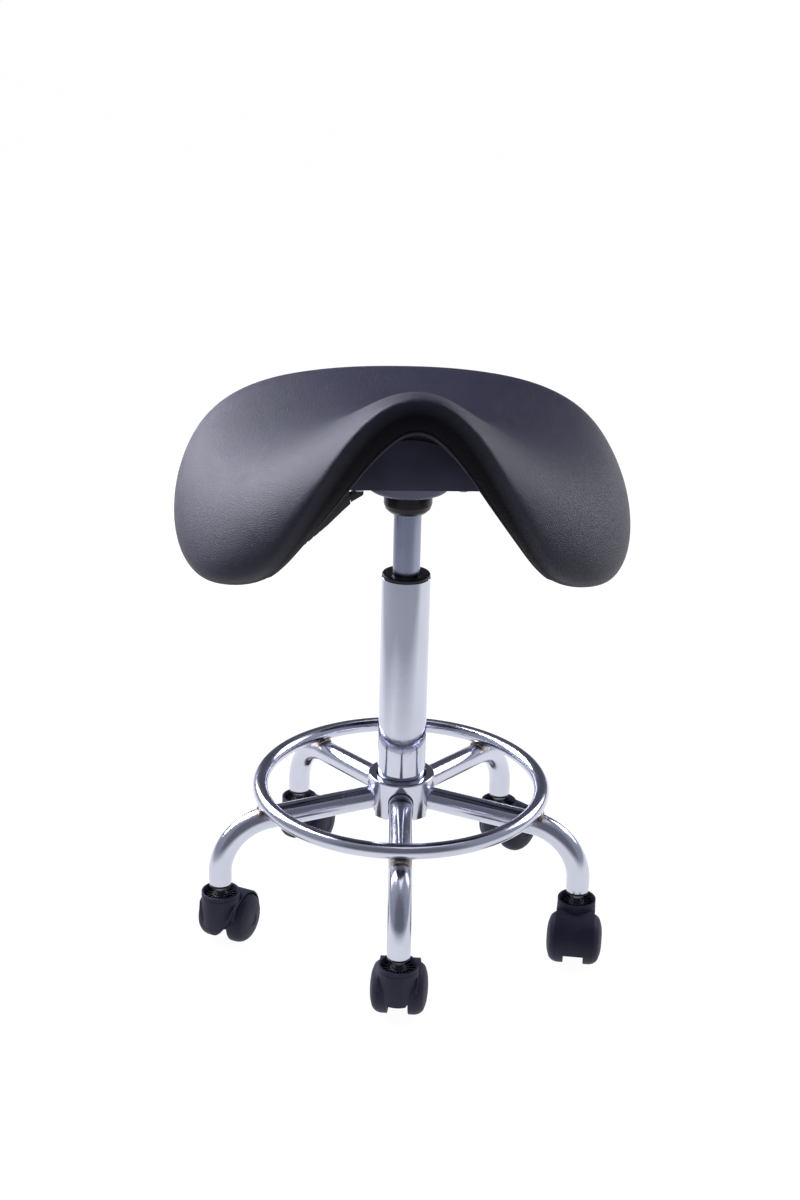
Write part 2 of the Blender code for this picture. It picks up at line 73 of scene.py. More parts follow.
def smooth(ob, angle=35.0):
    ob.data.shade_smooth()
    ob.data.set_sharp_from_angle(angle=math.radians(angle))
    return ob


def fillet(points, radii, steps=5, closed=True):
    """The polyline (r, z) with its corners rounded to the given radii."""
    out, n = [], len(points)
    for i, (p, r) in enumerate(zip(points, radii)):
        b = Vector(p)
        if r <= 0 or (not closed and i in (0, n - 1)):
            out.append(tuple(b))
            continue
        u = Vector(points[i - 1]) - b
        v = Vector(points[(i + 1) % n]) - b
        lu, lv = u.length, v.length
        u.normalize(); v.normalize()
        ang = u.angle(v)
        d = min(r / math.tan(ang / 2), 0.49 * lu, 0.49 * lv)
        rr = d * math.tan(ang / 2)
        c = b + (u + v).normalized() * (rr / math.sin(ang / 2))
        s, e = b + u * d - c, b + v * d - c
        a0, a1 = math.atan2(s.y, s.x), math.atan2(e.y, e.x)
        da = (a1 - a0 + math.pi) % math.tau - math.pi
        for k in range(steps + 1):
            t = a0 + da * k / steps
            out.append((c.x + rr * math.cos(t), c.y + rr * math.sin(t)))
    return out


def lathe(name, profile, seg=96, closed=True, wobble=None):
    """A profile of (r, z) turned about Z. An open profile starts and ends on the axis."""
    bm = bmesh.new()
    rings = []
    for r, z in profile:
        if r < 1e-7:
            rings.append([bm.verts.new((0, 0, z))])
        else:
            ring = []
            for k in range(seg):
                a = math.tau * k / seg
                rr = r + (wobble(a, z) if wobble else 0.0)
                ring.append(bm.verts.new((rr * math.cos(a), rr * math.sin(a), z)))
            rings.append(ring)
    pairs = list(zip(rings, rings[1:])) + ([(rings[-1], rings[0])] if closed else [])
    for a, b in pairs:
        for k in range(seg):
            j = (k + 1) % seg
            if len(a) == 1 and len(b) == 1:
                continue
            if len(a) == 1:
                bm.faces.new((a[0], b[k], b[j]))
            elif len(b) == 1:
                bm.faces.new((a[k], b[0], a[j]))
            else:
                bm.faces.new((a[k], b[k], b[j], a[j]))
    bmesh.ops.recalc_face_normals(bm, faces=bm.faces)
    mesh = bpy.data.meshes.new(name)
    bm.to_mesh(mesh)
    bm.free()
    return smooth(link(name, mesh))


def tube(name, points, radii, seg=20, closed=False, hollow=0.0, ups=None):
    """A round tube swept along points with a radius at each, solid with flat ends, or open with a wall."""
    pts = [Vector(p) for p in points]
    n = len(pts)
    tangents = []
    for i in range(n):
        a = pts[i - 1] if (i or closed) else pts[i]
        b = pts[(i + 1) % n] if (i < n - 1 or closed) else pts[i]
        tangents.append((b - a).normalized())
    side = ups or tangents[0].orthogonal().normalized()
    bm = bmesh.new()

    def sweep(shrink):
        rings, s = [], Vector(side)
        for p, t, r in zip(pts, tangents, radii):
            s = (s - t * s.dot(t)).normalized()
            w = t.cross(s)
            rings.append([bm.verts.new(p + (s * math.cos(math.tau * k / seg) + w * math.sin(math.tau * k / seg)) * (r - shrink))
                          for k in range(seg)])
        for a, b in list(zip(rings, rings[1:])) + ([(rings[-1], rings[0])] if closed else []):
            for k in range(seg):
                j = (k + 1) % seg
                bm.faces.new((a[k], a[j], b[j], b[k]))
        return rings

    outer = sweep(0.0)
    if not closed:
        if hollow:
            inner = sweep(hollow)
            for a, b in ((outer[0], inner[0]), (outer[-1], inner[-1])):
                for k in range(seg):
                    j = (k + 1) % seg
                    bm.faces.new((a[k], a[j], b[j], b[k]))
        else:
            bm.faces.new(outer[0])
            bm.faces.new(outer[-1])
    bmesh.ops.recalc_face_normals(bm, faces=bm.faces)
    mesh = bpy.data.meshes.new(name)
    bm.to_mesh(mesh)
    bm.free()
    return smooth(link(name, mesh), 45)


def prism(name, outline, low, high, axis="Y"):
    """A flat outline of (x, z) points (axis Y) or (x, y) points (axis Z), extruded from low to high."""
    bm = bmesh.new()
    if axis == "Y":
        rows = [[bm.verts.new((x, y, z)) for x, z in outline] for y in (low, high)]
    elif axis == "X":
        rows = [[bm.verts.new((x, y, z)) for y, z in outline] for x in (low, high)]
    else:
        rows = [[bm.verts.new((x, y, z)) for x, y in outline] for z in (low, high)]
    n = len(outline)
    bm.faces.new(rows[0])
    bm.faces.new(rows[1][::-1])
    for k in range(n):
        j = (k + 1) % n
        bm.faces.new((rows[0][k], rows[0][j], rows[1][j], rows[1][k]))
    bmesh.ops.recalc_face_normals(bm, faces=bm.faces)
    mesh = bpy.data.meshes.new(name)
    bm.to_mesh(mesh)
    bm.free()
    return link(name, mesh)


def drum(name, r, low, high, seg=64, matrix=Matrix.Identity(4)):
    ob = prism(name, [(r * math.cos(math.tau * k / seg), r * math.sin(math.tau * k / seg)) for k in range(seg)], low, high, "Z")
    ob.data.transform(matrix)
    return ob


def block(name, low, high):
    return prism(name, [(low[0], low[2]), (high[0], low[2]), (high[0], high[2]), (low[0], high[2])], low[1], high[1])


def boolean(ob, tool, how="DIFFERENCE"):
    """Cuts or joins, applies it and removes the tool."""
    m = ob.modifiers.new("b", "BOOLEAN")
    m.operation = how
    m.object = tool
    m.solver = "EXACT"
    bake(ob)
    mesh = tool.data
    bpy.data.objects.remove(tool)
    if not mesh.users:
        bpy.data.meshes.remove(mesh)
    return ob


def bake(ob):
    dg = bpy.context.evaluated_depsgraph_get()
    dg.update()
    mesh = bpy.data.meshes.new_from_object(ob.evaluated_get(dg), depsgraph=dg)
    old = ob.data
    ob.modifiers.clear()
    ob.data = mesh
    mesh.name = ob.name
    if not old.users:
        bpy.data.meshes.remove(old)
    return ob


def bevel(ob, width, segments=2, angle=35.0, done=True):
    m = ob.modifiers.new("bevel", "BEVEL")
    m.width = width
    m.segments = segments
    m.limit_method = "ANGLE"
    m.angle_limit = math.radians(angle)
    m.use_clamp_overlap = True
    m.harden_normals = False
    bake(ob)
    return smooth(ob, 32)


def arc(cx, cz, r, a0, a1, n):
    return [(cx + r * math.cos(math.radians(a0 + (a1 - a0) * i / n)),
             cz + r * math.sin(math.radians(a0 + (a1 - a0) * i / n))) for i in range(n + 1)]


# ---------------------------------------------------------------- materials
class Nodes:
    def __init__(self, name):
        self.m = bpy.data.materials.new(name)
        self.m.use_nodes = True
        self.t = self.m.node_tree
        self.b = self.t.nodes["Principled BSDF"]
        self.co = self.t.nodes.new("ShaderNodeTexCoord").outputs["Object"]

    def new(self, kind, **kw):
        n = self.t.nodes.new(kind)
        for k, v in kw.items():
            setattr(n, k, v)
        return n

    def link(self, a, b):
        self.t.links.new(a, b)

    def set(self, node, **kw):
        for k, v in kw.items():
            node.inputs[k.replace("_", " ")].default_value = v
        return node

    def noise(self, scale, detail=3.0, rough=0.5, vector=None, stretch=None):
        n = self.set(self.new("ShaderNodeTexNoise"), Scale=scale, Detail=detail, Roughness=rough)
        v = vector or self.co
        if stretch:
            m = self.new("ShaderNodeMapping")
            m.inputs["Scale"].default_value = stretch
            self.link(v, m.inputs["Vector"])
            v = m.outputs["Vector"]
        self.link(v, n.inputs["Vector"])
        return n.outputs["Fac"]

    def cells(self, scale, feature="DISTANCE_TO_EDGE", randomness=1.0, warp=0.0):
        n = self.new("ShaderNodeTexVoronoi", feature=feature)
        self.set(n, Scale=scale, Randomness=randomness)
        v = self.co
        if warp:
            w = self.set(self.new("ShaderNodeTexNoise"), Scale=scale * 0.4, Detail=2.0)
            self.link(self.co, w.inputs["Vector"])
            mix = self.new("ShaderNodeVectorMath", operation="MULTIPLY_ADD")
            self.link(w.outputs["Color"], mix.inputs[0])
            mix.inputs[1].default_value = (warp / scale,) * 3
            self.link(self.co, mix.inputs[2])
            v = mix.outputs["Vector"]
        self.link(v, n.inputs["Vector"])
        return n.outputs["Distance"]

    def ramp(self, fac, stops):
        n = self.new("ShaderNodeValToRGB")
        el = n.color_ramp.elements
        while len(el) < len(stops):
            el.new(0.5)
        for e, (pos, v) in zip(el, stops):
            e.position = pos
            e.color = (*v, 1.0) if isinstance(v, tuple) else (v, v, v, 1.0)
        self.link(fac, n.inputs["Fac"])
        return n.outputs["Color"]

    def span(self, value, a, b, c=0.0, d=1.0):
        n = self.new("ShaderNodeMapRange")
        n.clamp = True
        for k, v in zip(("From Min", "From Max", "To Min", "To Max"), (a, b, c, d)):
            n.inputs[k].default_value = v
        self.link(value, n.inputs["Value"])
        return n.outputs["Result"]

    def math(self, op, a, b=None, c=None):
        n = self.new("ShaderNodeMath", operation=op)
        for i, v in enumerate((a, b, c)):
            if v is None:
                continue
            if isinstance(v, (int, float)):
                n.inputs[i].default_value = v
            else:
                self.link(v, n.inputs[i])
        return n.outputs["Value"]

    def mix(self, fac, a, b):
        n = self.new("ShaderNodeMix", data_type="RGBA")
        for sock, v in ((n.inputs[0], fac), (n.inputs[6], a), (n.inputs[7], b)):
            if isinstance(v, (int, float)):
                sock.default_value = v
            elif isinstance(v, tuple):
                sock.default_value = (*v, 1.0)
            else:
                self.link(v, sock)
        return n.outputs[2]

    def bump(self, height, distance, strength=1.0, after=None):
        n = self.new("ShaderNodeBump")
        n.inputs["Strength"].default_value = strength
        n.inputs["Distance"].default_value = distance
        self.link(height, n.inputs["Height"])
        if after is not None:
            self.link(after, n.inputs["Normal"])
        return n.outputs["Normal"]

    def out(self, colour=None, rough=None, metal=None, normal=None, **extra):
        for sock, v in (("Base Color", colour), ("Roughness", rough), ("Metallic", metal), ("Normal", normal)):
            if v is None:
                continue
            if isinstance(v, tuple):
                self.b.inputs[sock].default_value = (*v, 1.0)
            elif isinstance(v, (int, float)):
                self.b.inputs[sock].default_value = v
            else:
                self.link(v, self.b.inputs[sock])
        for k, v in extra.items():
            self.b.inputs[k.replace("_", " ")].default_value = v
        return self.m


def skin_material():
    """Self-skinned polyurethane with a fine moulded leather grain. The rim and the underside carry painted shade: a
    darker colour and a weaker specular; they are also rougher.
    """
    n = Nodes("seat_skin_grain")
    underside_shade = n.new("ShaderNodeAttribute", attribute_name="underside_shade").outputs["Fac"]
    # painted shade mask: 1 on the rim and the underside
    low = n.span(underside_shade, 0.06, 0.42)
    pebbles = n.cells(560.0, warp=0.8)
    fine = n.cells(1500.0, warp=0.5)
    broad = n.noise(9.0, 3.0)
    grain = n.span(pebbles, 0.0, 0.22)
    fine_g = n.span(fine, 0.0, 0.25)
    tint = n.mix(n.span(broad, 0.35, 0.65), (0.0062, 0.0063, 0.0220), (0.0084, 0.0085, 0.0285))
    tint = n.mix(n.math("MULTIPLY", n.math("SUBTRACT", 1.0, grain), 0.55), tint, (0.0052, 0.0054, 0.0130))
    # painted shade: the rim and the underside are painted darker
    tint = n.mix(low, tint, (0.0026, 0.0026, 0.0052))
    rough = n.math("ADD", n.span(broad, 0.3, 0.7, 0.37, 0.44), n.math("MULTIPLY", n.math("SUBTRACT", 1.0, grain), 0.12))
    rough = n.math("ADD", rough, n.math("MULTIPLY", low, 0.12))
    bump = n.bump(grain, 0.00028, 0.9)
    bump = n.bump(fine_g, 0.00006, 0.6, bump)
    bump = n.bump(n.noise(60.0, 2.0), 0.0004, 0.25, bump)
    # painted shade: the rim and the underside reflect less
    n.link(n.span(low, 0.0, 1.0, 0.30, 0.06), n.b.inputs["Specular IOR Level"])
    return n.out(tint, rough, 0.0, bump)


def chrome_material(name, base=(0.575, 0.59, 0.68), low=0.05, high=0.12, tint=None):
    """Bright plating: slight smears, a faint orange peel, and heat colour where something is welded on."""
    n = Nodes(name)
    smear = n.noise(35.0, 5.0, 0.6)
    dust = n.span(n.noise(900.0, 2.0), 0.62, 0.72)
    rough = n.math("ADD", n.span(smear, 0.35, 0.70, low, high), n.math("MULTIPLY", dust, 0.06))
    colour = n.mix(n.span(n.noise(14.0, 2.0), 0.35, 0.65), base, tuple(c * 0.93 for c in base))
    normal = n.bump(n.noise(160.0, 2.0), 0.00012, 0.25)
    if tint:
        heat = tint(n)
        brown = n.ramp(heat, [(0.0, (0.63, 0.64, 0.74)), (0.35, (0.50, 0.46, 0.44)), (0.7, (0.22, 0.18, 0.17)), (1.0, (0.09, 0.08, 0.085))])
        colour = n.mix(n.span(heat, 0.05, 0.55), colour, brown)
        rough = n.math("ADD", rough, n.math("MULTIPLY", heat, 0.30))
        normal = n.bump(n.math("MULTIPLY", n.noise(1400.0, 3.0), heat), 0.0004, 0.7, normal)
    return n.out(colour, rough, 1.0, normal)


def polar(n):
    """(distance along the ring from the nearest leg, radius) as node values."""
    s = n.new("ShaderNodeSeparateXYZ")
    n.link(n.co, s.inputs[0])
    x, y, z = s.outputs
    a = n.math("SUBTRACT", n.math("ARCTAN2", y, x), FIRST_LEG)
    off = n.math("PINGPONG", n.math("ADD", a, math.tau), math.tau / 10)
    # PINGPONG is 0 at every second multiple of its scale, which is every leg
    r = n.math("SQRT", n.math("ADD", n.math("MULTIPLY", x, x), n.math("MULTIPLY", y, y)))
    return off, r, z


def ring_heat(n):
    off, r, z = polar(n)
    d = n.math("MULTIPLY", off, RING_R)
    ragged = n.math("ADD", d, n.math("MULTIPLY", n.math("SUBTRACT", n.noise(220.0, 3.0), 0.5), 0.012))
    low = n.span(z, RING_Z - 0.001, RING_Z - 0.0075)
    return n.math("MULTIPLY", n.span(ragged, 0.0125, 0.0045), low)


def leg_heat(n):
    off, r, z = polar(n)
    d = n.math("ABSOLUTE", n.math("SUBTRACT", r, RING_R))
    ragged = n.math("ADD", d, n.math("MULTIPLY", n.math("SUBTRACT", n.noise(220.0, 3.0), 0.5), 0.012))
    top = n.span(z, 0.1440, 0.1515)
    near_hub = n.span(r, 0.0400, 0.0345)
    return n.math("MAXIMUM", n.math("MULTIPLY", n.span(ragged, 0.0130, 0.0055), top), n.math("MULTIPLY", near_hub, 0.2))


def weld_material():
    n = Nodes("weld_bead")
    spots = n.noise(420.0, 4.0, 0.65)
    colour = n.ramp(spots, [(0.30, (0.10, 0.085, 0.085)), (0.5, (0.28, 0.24, 0.22)), (0.7, (0.55, 0.54, 0.56))])
    bump = n.bump(spots, 0.0006, 0.9)
    return n.out(colour, n.span(spots, 0.3, 0.7, 0.42, 0.25), 1.0, bump)


def steel_material(name, base, low=0.22, high=0.34, grind=(1.0, 1.0, 60.0), bump_d=0.00002):
    """Ground or rolled steel: fine scratches round the axis and slow tone changes."""
    n = Nodes(name)
    lines = n.noise(60.0, 3.0, 0.6, stretch=grind)
    slow = n.noise(18.0, 3.0)
    colour = n.mix(n.span(slow, 0.35, 0.65), base, tuple(c * 0.85 for c in base))
    rough = n.math("ADD", n.span(lines, 0.3, 0.7, low, high), 0.0)
    return n.out(colour, rough, 1.0, n.bump(lines, bump_d, 0.5))


def plastic_material(name, base, rough=0.45, grain=1100.0, depth=0.00005, vary=0.25, dust=0.0, spec=0.45):
    """Moulded plastic with a spark-eroded texture and slightly uneven colour."""
    n = Nodes(name)
    g = n.noise(grain, 3.0, 0.6)
    slow = n.noise(28.0, 4.0)
    colour = n.mix(n.span(slow, 0.3, 0.7), tuple(c * (1 - vary) for c in base), tuple(c * (1 + vary) for c in base))
    if dust:
        colour = n.mix(n.math("MULTIPLY", n.span(n.noise(300.0, 4.0, 0.7), 0.60, 0.78), dust), colour, tuple(c * 3 + 0.03 for c in base))
    r = n.span(g, 0.3, 0.7, rough - 0.05, rough + 0.07)
    return n.out(colour, r, 0.0, n.bump(g, depth, 0.6), Specular_IOR_Level=spec)


def paint_material(name, base, rough=0.38):
    """Powder coat on pressed steel: a fine orange peel and slow changes in tone and gloss."""
    n = Nodes(name)
    peel = n.noise(420.0, 2.0)
    slow = n.noise(24.0, 3.0)
    colour = n.mix(n.span(slow, 0.3, 0.7), tuple(c * 0.85 for c in base), tuple(c * 1.1 for c in base))
    return n.out(colour, n.span(slow, 0.3, 0.7, rough - 0.05, rough + 0.06), 0.55, n.bump(peel, 0.00008, 0.5))


SKIN = skin_material()
CHROME = chrome_material("chrome_column")
CHROME_HUB = chrome_material("chrome_hub", low=0.10, high=0.19)
CHROME_RING = chrome_material("chrome_ring", low=0.13, high=0.24, tint=ring_heat)
CHROME_LEG = chrome_material("chrome_leg", low=0.13, high=0.25, tint=leg_heat)
WELD = weld_material()
STEEL = steel_material("ground_steel", (0.46, 0.48, 0.55))
TUBE_STEEL = steel_material("tube_steel", (0.29, 0.31, 0.41), 0.18, 0.28)
ZINC = steel_material("zinc_steel", (0.52, 0.53, 0.56), 0.28, 0.42)
BOARD = plastic_material("board_plastic", (0.032, 0.033, 0.062), 0.60, 900.0, 0.00008, spec=0.25)
PLATE = paint_material("plate_paint", (0.085, 0.090, 0.135))
COVER = plastic_material("cover_plastic", (0.005, 0.005, 0.008), 0.28, 700.0, 0.00003, spec=0.30)
BLACK = plastic_material("black_plastic_fine", (0.012, 0.012, 0.016), 0.40)
BAR = plastic_material("lever_black", (0.012, 0.012, 0.014), 0.42, 600.0, 0.00008)
CASTOR = plastic_material("castor_nylon_fine", (0.0180, 0.0183, 0.0400), 0.55, 1300.0, 0.00008, dust=0.12, spec=0.20)
# a darker copy of the castor nylon for the ribs in the collar's cup: painted shade
CASTOR_SHADED_IN = plastic_material("castor_nylon_inside", (0.010, 0.010, 0.018), 0.45, 1300.0, 0.00006)


def piece(ob, body, mat, slot, *nodes):
    ob.data.materials.clear()
    ob.data.materials.append(mat)
    for p in ob.data.polygons:
        p.material_index = 0
    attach(ob, body)
    if nodes:
        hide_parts(*nodes)
    return ob


# ---------------------------------------------------------------- seat
SEAT_SHIFT = -0.0025          # the moulding sits this far to the left of the lift
SEAT_ROWS = (
    ((0, -186, 634), (32, -185, 624), (63, -180, 589), (90, -171, 538), (117, -156, 483), (145, -132, 428)),
    ((0, -146, 632), (38, -147, 620), (77, -144, 581), (115, -136, 533), (156, -122, 478), (199, -100, 420)),
    ((0, -88, 612), (43, -88, 600), (89, -86, 569), (138, -80, 531), (192, -70, 479), (223, -52, 416)),
    ((0, -22, 580), (49, -22, 572), (99, -20, 554), (155, -16, 527), (214, -8, 486), (240, 4, 424)),
    ((0, 52, 560), (53, 52, 558), (105, 53, 549), (163, 56, 533), (222, 62, 502), (246, 70, 445)),
    ((0, 128, 562), (53, 128, 562), (105, 129, 557), (157, 130, 543), (211, 132, 520), (241, 134, 474)),
    ((0, 206, 573), (51, 205, 572), (103, 202, 567), (149, 196, 559), (190, 185, 541), (218, 169, 508)),
)


def saddle(name, foam, levels):
    """The seat's cage, both halves, thickened and smoothed. Its two lips are left as seams."""
    rows, cols = len(SEAT_ROWS), 2 * len(SEAT_ROWS[0]) - 1
    whole = [[(-x, y, z) for x, y, z in row[:0:-1]] + list(row) for row in SEAT_ROWS]
    verts = [(x / 1000 + SEAT_SHIFT, y / 1000, z / 1000) for row in whole for x, y, z in row]
    faces = [(r * cols + c, r * cols + c + 1, (r + 1) * cols + c + 1, (r + 1) * cols + c)
             for r in range(rows - 1) for c in range(cols - 1)]
    mesh = bpy.data.meshes.new(name)
    mesh.from_pydata(verts, [], faces)
    ob = link(name, mesh)
    s = ob.modifiers.new("foam", "SOLIDIFY")
    s.thickness = foam
    s.offset = -1.0
    s.use_even_offset = True
    bake(ob)
    n = len(ob.data.vertices) // 2
    bm = bmesh.new()
    bm.from_mesh(ob.data)
    bm.verts.ensure_lookup_table()
    crease = bm.edges.layers.float.get("crease_edge") or bm.edges.layers.float.new("crease_edge")
    for e in bm.edges:                      # the rim's two edge loops
        a, b = (v.index for v in e.verts)
        if (a < n) == (b < n):
            kinds = {all(v.index < n for v in f.verts) or all(v.index >= n for v in f.verts) for f in e.link_faces}
            if kinds == {True, False}:
                e.seam = True
                far = max(abs(v.co.x) for v in e.verts)
                if e.verts[0].index < n and max(v.co.y for v in e.verts) < -0.125 and far < 0.155:
                    e[crease] = 0.45 if far < 0.095 else 0.30      # the pommel's crest is tighter
    bm.to_mesh(ob.data)
    bm.free()
    # this mask carries the seat's painted shade: 0 on top, 1 on the underside
    underside_shade = ob.data.attributes.new("underside_shade", "FLOAT", "POINT")
    for i, d in enumerate(underside_shade.data):      # 0 on top, 1 on the underside, a slope across the rim
        d.value = 0.0 if i < n else 1.0
    if levels:
        u = ob.modifiers.new("soft", "SUBSURF")
        u.levels = u.render_levels = levels
        bake(ob)
    return ob


def seam_loops(ob):
    """Ordered closed loops of points along the mesh's seams, each with the surface normal there."""
    mesh = ob.data
    nxt = {}
    for e in mesh.edges:
        if e.use_seam:
            a, b = e.vertices
            nxt.setdefault(a, []).append(b)
            nxt.setdefault(b, []).append(a)
    loops, seen = [], set()
    for start in sorted(nxt):
        if start in seen:
            continue
        loop, prev, cur = [], None, start
        while cur not in seen:
            seen.add(cur)
            loop.append(cur)
            step = [v for v in nxt[cur] if v != prev and v not in seen]
            if not step:
                break
            prev, cur = cur, step[0]
        loops.append([(mesh.vertices[i].co.copy(), mesh.vertices[i].normal.copy()) for i in loop])
    return loops


seat = saddle("seat_foam", FOAM, 4)
smooth(seat, 180)
loops = seam_loops(seat)
piece(seat, "seat", SKIN, "seat_skin", "saddle_seat")

# parting bead along the lower lip
inner_loop = min(loops, key=lambda lp: sum(p.z for p, _ in lp) / len(lp))
bead_pts = [p + nrm * 0.0002 for p, nrm in inner_loop]
bead = tube("lip_bead", bead_pts, [0.0012] * len(bead_pts), 8, closed=True)
# the bead takes a little of the seat's painted underside shade
for d in bead.data.attributes.new("underside_shade", "FLOAT", "POINT").data:
    d.value = 0.18
piece(bead, "seat", SKIN, "seat_skin")


def board_mesh():
    low = BASE_LOW
    ob = prism("stiffener_board", [(-0.076, low), (0.076, low), (0.076, 0.534), (0.034, 0.586), (-0.034, 0.586), (-0.076, 0.534)],
               -0.080, 0.080)
    boolean(ob, prism("board_slope", [(-0.100, 0.586), (0.030, 0.540), (0.100, 0.536), (0.100, 0.600), (-0.100, 0.600)],
                      -0.100, 0.100, "X"))
    boolean(ob, saddle("board_arch", FOAM + 0.0006, 3))
    boolean(ob, block("pocket", (-0.062, -0.0160, low - 0.01), (0.022, 0.0160, low + 0.0110)))
    for x, y in BOLTS:
        boolean(ob, drum("hole", 0.0036, low - 0.01, low + 0.0062, 32, Matrix.Translation((x, y, 0))))
    return ob


board = board_mesh()
bevel(board, 0.0009, 2, 50.0)
piece(board, "seat", BOARD, "seat_board", "seat_board")


def plate_mesh():
    t, z, low = PLATE_T, PLATE_Z, DISH_LOW
    corner = 0.010
    outline = []
    for cx, cy, a0 in ((0.054, 0.060, 0), (-0.054, 0.060, 90), (-0.054, -0.060, 180), (0.054, -0.060, 270)):
        outline += arc(cx, cy, corner, a0, a0 + 90, 8)
    ob = prism("pressed_plate", outline, z, z + t, "Z")
    boolean(ob, drum("hole", 0.0415, z - 0.01, z + t + 0.01, 96))
    profile = fillet([(0.0470, z + 0.0001), (0.0432, z + 0.0001), (0.0405, low), (0.0216, low), (0.0216, low + t), (0.0382, low + t),
                      (0.0402, z + t - 0.0001), (0.0470, z + t - 0.0001)],
                     [0, 0.0030, 0.0048, 0.0006, 0.0003, 0.0020, 0.0030, 0], 6)
    boolean(ob, lathe("dish", profile, 96), "UNION")
    boolean(ob, block("slot", (-0.061, -0.0090, low + 0.0048), (-0.0330, 0.0090, z + t + 0.01)))
    px, _, pz = LEVER_PIVOT
    for side in (-1, 1):
        boolean(ob, block("lug", (px - 0.0045, min(side * 0.0075, side * 0.0105), low + 0.001),
                          (px + 0.0040, max(side * 0.0075, side * 0.0105), pz + 0.0048)), "UNION")
    boolean(ob, drum("eye", 0.00225, -0.02, 0.02, 24, Matrix.Translation(LEVER_PIVOT) @ Matrix.Rotation(math.pi / 2, 4, "X")))
    for x, y in BOLTS:
        boolean(ob, drum("hole", 0.0037, z - 0.01, z + t + 0.01, 32, Matrix.Translation((x, y, 0))))
    return smooth(ob, 30)


piece(plate_mesh(), "seat", PLATE, "mount_plate", "mount_plate")


def bolt_mesh():
    z = PLATE_Z
    ob = lathe("plate_bolt", fillet([(0, BASE_LOW + 0.0056), (0.0030, BASE_LOW + 0.0056), (0.0030, z - GAP), (0.0050, z - GAP),
                                     (0.0050, z - 0.0045), (0, z - 0.0045)], [0, 0.0004, 0, 0.0003, 0.0008, 0], 4, False), 40, False)
    hexagon = [(0.0023 * math.cos(math.tau * k / 6), 0.0023 * math.sin(math.tau * k / 6)) for k in range(6)]
    boolean(ob, prism("socket", hexagon, z - 0.006, z - 0.0020, "Z"))
    return smooth(ob, 30)


bolt = bolt_mesh()
for k, (x, y) in enumerate(BOLTS):
    ob = bolt if k == 0 else link("plate_bolt", bolt.data)
    ob.name = "hex_bolt_%d" % (k + 1)
    ob.location = (x, y, 0)
    piece(ob, "seat", ZINC, "steel", "plate_bolt_%d" % (k + 1))

piece(lathe("taper_socket", fillet([(0.0206, 0.5040), (0.0206, SOCKET_LOW), (0.01445, SOCKET_LOW), (0.01445, CONE_LOW),
                                    (0.01350, 0.5010), (0.01350, 0.5040)], [0.0006, 0.0006, 0.0005, 0, 0, 0.0005], 3), 72),
      "seat", ZINC, "steel", "cone_socket")
piece(lathe("collar_cover", fillet([(0.0244, DISH_LOW - GAP), (0.0244, 0.4738), (0.0228, 0.4690), (0.0190, 0.4652),
                                    (0.01450, 0.4652), (0.01450, 0.4672), (0.0190, 0.4680), (0.0212, 0.4700),
                                    (0.0212, DISH_LOW - GAP)], [0.0009, 0.0030, 0.0030, 0.0022, 0.0006, 0.0003, 0, 0, 0], 6), 96),
      "seat", COVER, "gloss_black", "socket_cover")
piece(lathe("spring_tube", fillet([(0.0128, TUBE_TOP), (TUBE_R, CONE_LOW), (TUBE_R, TUBE_LOW + 0.0030),
                                   (0.0128, TUBE_LOW), (0.0115, TUBE_LOW), (0.0115, 0.4870),
                                   (0.0046, 0.4870), (0.0046, TUBE_TOP)], [0.0008, 0, 0.0015, 0.0006, 0.0003, 0, 0.0003, 0.0003], 4), 96),
      "seat", TUBE_STEEL, "steel", "pressure_tube")

# ---------------------------------------------------------------- lever
px, _, pz = LEVER_PIVOT
BAR_LINE = [(0.0040, LEVER_LOW), (0.0040, LEVER_LOW + 0.005), (px - 0.004, LEVER_LOW + 0.005), (-0.0470, 0.5128), (-0.0505, 0.5095),
            (-0.0508, 0.4890), (-0.0585, 0.4828), (-0.0895, 0.4563), (-0.0866, 0.4529), (-0.0574, 0.4779), (-0.0571, 0.4751),
            (-0.0446, 0.4829), (-0.0448, 0.5060), (-0.0425, 0.5082), (px - 0.006, LEVER_LOW)]
bar = prism("lever_bar", fillet(BAR_LINE, [0.0008, 0.0008, 0.004, 0.003, 0.003, 0.006, 0.003, 0.0008, 0.0008, 0.0003, 0.0003, 0.003, 0.001, 0.001, 0.002], 5), -0.0050, 0.0050)
boolean(bar, drum("eye", 0.0022, -0.02, 0.02, 24, Matrix.Translation(LEVER_PIVOT) @ Matrix.Rotation(math.pi / 2, 4, "X")))
bevel(bar, 0.0006, 2, 40.0)
piece(bar, "lever", BAR, "lever_bar", "lift_lever")
pin = drum("pivot_pin", 0.0019, -0.0118, 0.0118, 32, Matrix.Translation(LEVER_PIVOT) @ Matrix.Rotation(math.pi / 2, 4, "X"))
bevel(pin, 0.0004, 2, 40.0)
piece(pin, "seat", ZINC, "steel", "lever_pivot_pin")

